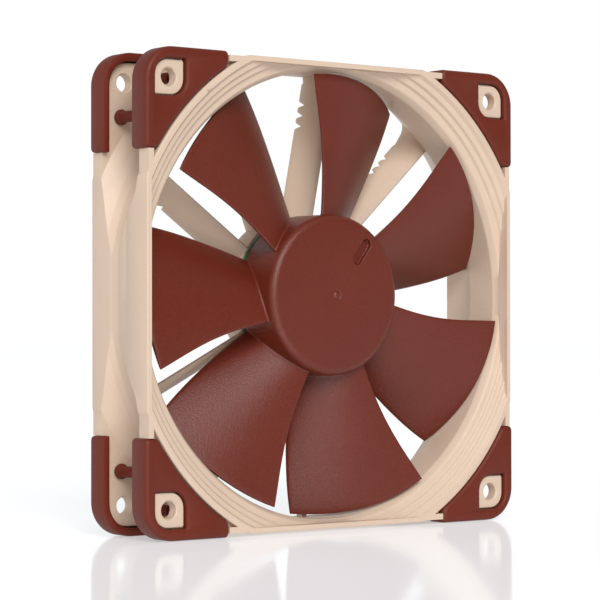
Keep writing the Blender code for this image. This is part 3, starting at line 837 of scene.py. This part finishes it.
def finish_inner_parts(nodes):
    steel = moulded("ground_steel", (0.52, 0.52, 0.53), (0.66, 0.66, 0.67), 0.28, 4000, 0.15, 200, 1.0)
    brass = moulded("turned_brass", (0.66, 0.46, 0.18), (0.78, 0.58, 0.28), 0.28, 3500, 0.15, 200, 1.0)
    ferrite = moulded("sintered_ferrite", (0.035, 0.035, 0.037), (0.07, 0.07, 0.07), 0.6, 3000, 0.4, 300)
    nylon = moulded("nylon", (0.72, 0.70, 0.63), (0.82, 0.80, 0.74), 0.45, 2500, 0.2, 150)
    laminate = moulded("stamped_core", (0.24, 0.24, 0.25), (0.34, 0.34, 0.35), 0.42, 2500, 0.3, 250, 1.0)
    copper = moulded("enamelled_wire", (0.58, 0.22, 0.09), (0.76, 0.34, 0.16), 0.3, 1800, 0.7, 300, 1.0)
    board = moulded("solder_mask", (0.025, 0.10, 0.06), (0.04, 0.16, 0.09), 0.35, 1500, 0.2, 400)
    chip = moulded("chip_epoxy", (0.014, 0.014, 0.015), (0.03, 0.03, 0.03), 0.5, 3000, 0.3, 500)
    can = moulded("drawn_can", (0.62, 0.63, 0.64), (0.76, 0.77, 0.78), 0.3, 3000, 0.15, 300, 1.0)
    paper = moulded("blank_label", (0.50, 0.45, 0.39), (0.56, 0.51, 0.45), 0.5, 2500, 0.2, 120)
    finishes = {
        "bearing_tube": brass, "shaft_bushing": brass, "sleeve_bearing": steel, "rotor_yoke": steel,
        "shaft": steel, "oil_seal": nylon, "thrust_pad": nylon, "shaft_clip": nylon,
        "front_insulator": nylon, "rear_insulator": nylon, "stabilising_magnet": ferrite,
        "magnet_ring": ferrite, "stator_core": laminate, "coil_1": copper, "coil_2": copper,
        "coil_3": copper, "coil_4": copper, "circuit_board": board, "driver_chip": chip,
        "hall_sensor": chip, "capacitor": can, "rear_label": paper,
    }
    for name, finish in finishes.items():
        nodes[name].data.materials.clear()
        nodes[name].data.materials.append(finish)
        smooth(nodes[name])


# ---- studio ----


def build_floor():
    mesh = bpy.data.meshes.new("floor")
    half = 6.0
    points = [(-half, -half, 0), (half, -half, 0), (half, half, 0), (-half, half, 0)]
    mesh.from_pydata(points, [], [(0, 1, 2, 3)])
    floor = bpy.data.objects.new("floor", mesh)
    bpy.context.scene.collection.objects.link(floor)
    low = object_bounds()[0][2]
    floor.location = (0, 0, low - 0.0001)
    made = bpy.data.materials.new("glossy_white")
    made.use_nodes = True
    tree = made.node_tree
    tree.nodes.remove(tree.nodes["Principled BSDF"])
    matt = tree.nodes.new("ShaderNodeBsdfDiffuse")
    matt.inputs["Color"].default_value = (0.53, 0.53, 0.535, 1)
    glow = tree.nodes.new("ShaderNodeEmission")
    glow.inputs["Color"].default_value = (0.97, 0.98, 1.0, 1)
    glow.inputs["Strength"].default_value = 0.63
    lit = tree.nodes.new("ShaderNodeAddShader")
    gloss = tree.nodes.new("ShaderNodeBsdfGlossy")
    gloss.inputs["Color"].default_value = (0.94, 0.97, 1.0, 1)
    gloss.inputs["Roughness"].default_value = 0.1
    both = tree.nodes.new("ShaderNodeMixShader")
    both.inputs["Fac"].default_value = 0.32
    tree.links.new(matt.outputs["BSDF"], lit.inputs[0])
    tree.links.new(glow.outputs["Emission"], lit.inputs[1])
    tree.links.new(lit.outputs["Shader"], both.inputs[1])
    tree.links.new(gloss.outputs["BSDF"], both.inputs[2])
    tree.links.new(both.outputs["Shader"], tree.nodes["Material Output"].inputs["Surface"])
    mesh.materials.append(made)


def map_range(tree, value, start, end, first, last):
    made = tree.nodes.new("ShaderNodeMapRange")
    for name, number in zip(("From Min", "From Max", "To Min", "To Max"), (start, end, first, last)):
        made.inputs[name].default_value = number
    tree.links.new(value, made.inputs["Value"])
    return made.outputs["Result"]


def light_studio():
    """A white room, dimmer overhead and to the right in front, and one broad light from the upper left."""
    world = bpy.data.worlds.new("studio")
    bpy.context.scene.world = world
    world.use_nodes = True
    tree = world.node_tree
    where = tree.nodes.new("ShaderNodeTexCoord").outputs["Generated"]
    split = tree.nodes.new("ShaderNodeSeparateXYZ")
    tree.links.new(where, split.inputs["Vector"])
    aside = tree.nodes.new("ShaderNodeVectorMath")
    aside.operation = "DOT_PRODUCT"
    aside.inputs[1].default_value = (0.6, -0.8, 0)
    tree.links.new(where, aside.inputs[0])
    both = tree.nodes.new("ShaderNodeMath")
    both.operation = "MULTIPLY"
    tree.links.new(map_range(tree, split.outputs["Z"], 0.17, 0.45, 1.0, 0.5), both.inputs[0])
    tree.links.new(map_range(tree, aside.outputs["Value"], 0.5, 0.9, 1.0, 0.15), both.inputs[1])
    tree.links.new(both.outputs["Value"], tree.nodes["Background"].inputs["Strength"])
    tree.nodes["Background"].inputs["Color"].default_value = (1, 1, 1, 1)
    data = bpy.data.lights.new("key", "SUN")
    data.energy = 2.3
    data.angle = radians(30)
    key = bpy.data.objects.new("key", data)
    bpy.context.scene.collection.objects.link(key)
    key.rotation_euler = Vector((0.38, 0.78, -0.5)).to_track_quat("-Z", "Y").to_euler()


def place_camera():
    """The photo's camera: low, 38 degrees round to the left, through a long lens."""
    yaw, pitch, roll = radians(38.017), radians(0.667), radians(-0.068)
    ahead = Vector((sin(yaw) * cos(pitch), cos(yaw) * cos(pitch), sin(pitch)))
    right = Vector((cos(yaw), -sin(yaw), 0))
    up = right.cross(ahead)
    side = cos(roll) * right + sin(roll) * up
    top = cos(roll) * up - sin(roll) * right
    data = bpy.data.cameras.new("camera")
    data.sensor_width = 36
    data.lens = 142.41
    camera = bpy.data.objects.new("camera", data)
    bpy.context.scene.collection.objects.link(camera)
    turn = Matrix((side, top, -ahead)).transposed().to_4x4()
    camera.matrix_world = Matrix.Translation((-0.38130, -0.48337, -0.00834)) @ turn
    bpy.context.scene.camera = camera


cream = moulded(
    "cream_moulding", (0.60, 0.455, 0.345), (0.63, 0.48, 0.365), 0.45, 900, 0.12, shine=0.4
)
brown = grained(
    "brown_moulding",
    dark=(0.107, 0.0125, 0.0043),
    light=(0.122, 0.015, 0.0055),
    speck=(0.18, 0.034, 0.018),
    roughness=0.34,
    grain_scale=2600,
    grain=0.5,
    shine=0.42,
)
rubber = moulded(
    "brown_rubber", (0.114, 0.0138, 0.0046), (0.13, 0.0168, 0.006), 0.5, 1800, 0.25, shine=0.3
)

build_frame(cream)
build_duct_bumps(cream)
build_pads(rubber)
build_impeller(brown)
finish_inner_parts(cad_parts)
bpy.data.collections.remove(WORK)
build_floor()
light_studio()
place_camera()
bpy.context.scene.view_settings.view_transform = "Standard"
